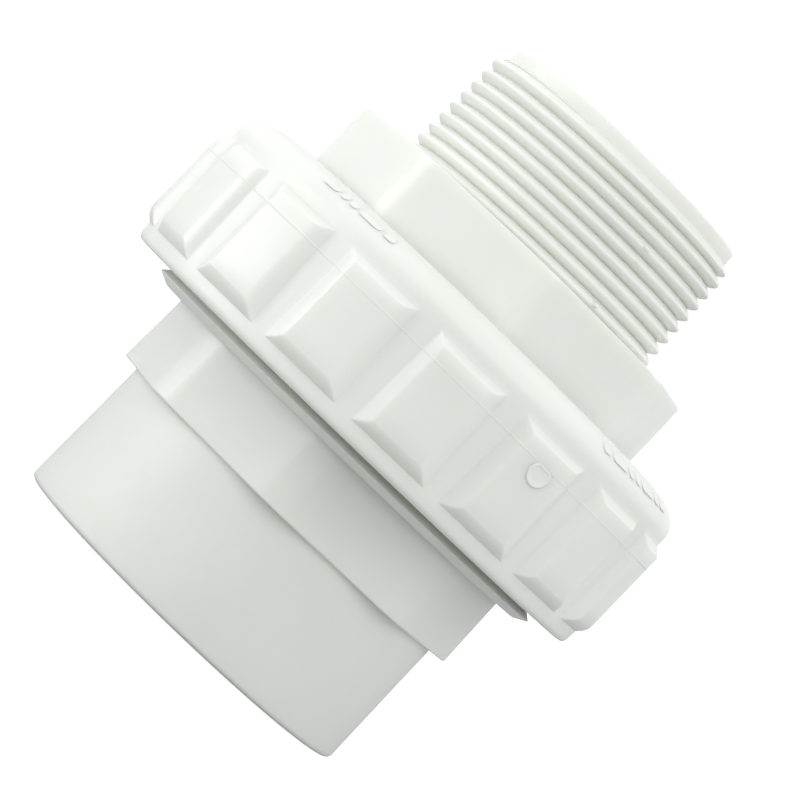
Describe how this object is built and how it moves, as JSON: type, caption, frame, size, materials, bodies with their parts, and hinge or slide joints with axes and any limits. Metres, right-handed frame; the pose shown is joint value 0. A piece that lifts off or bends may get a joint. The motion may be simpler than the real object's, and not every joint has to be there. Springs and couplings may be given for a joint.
{
  "type": "pipe union fitting",
  "caption": "White PVC pipe union: slip socket end, ring nut with raised grip pads, and a tailpiece with a male tapered pipe thread.",
  "frame": {"origin": "centre of the pipe socket's mouth, the face the fitting stands on", "axes": "+Z along the waterway from the pipe socket to the male threaded end; the picture's camera looks along +Y"},
  "size_m": [0.0908, 0.0908, 0.0956],
  "materials": {
    "socket_pvc": "injection-moulded white PVC, satin",
    "tailpiece_pvc": "injection-moulded white PVC, satin",
    "nut_pvc": "injection-moulded white PVC, satin",
    "seal_rubber": "black EPDM rubber, dull"
  },
  "bodies": {
    "socket": {"socket_end": "socket_pvc", "face_o_ring": "seal_rubber"},
    "tailpiece": {"threaded_tailpiece": "tailpiece_pvc"},
    "nut": {"union_nut": "nut_pvc"}
  },
  "joints": [
    {"name": "tailpiece_lift", "type": "slide", "parent": "socket", "child": "tailpiece", "axis": [0, 0, 1], "range_m": [0, 0.0091]},
    {"name": "nut_turn", "type": "hinge", "parent": "tailpiece", "child": "nut", "pos_m": [0, 0, 0.0495], "axis": [0, 0, 1], "range_deg": [0, 810]}
  ],
  "couplings": [
    {"joint": "tailpiece_lift", "follows": "nut_turn", "m_per_rad": 0.00063662}
  ]
}
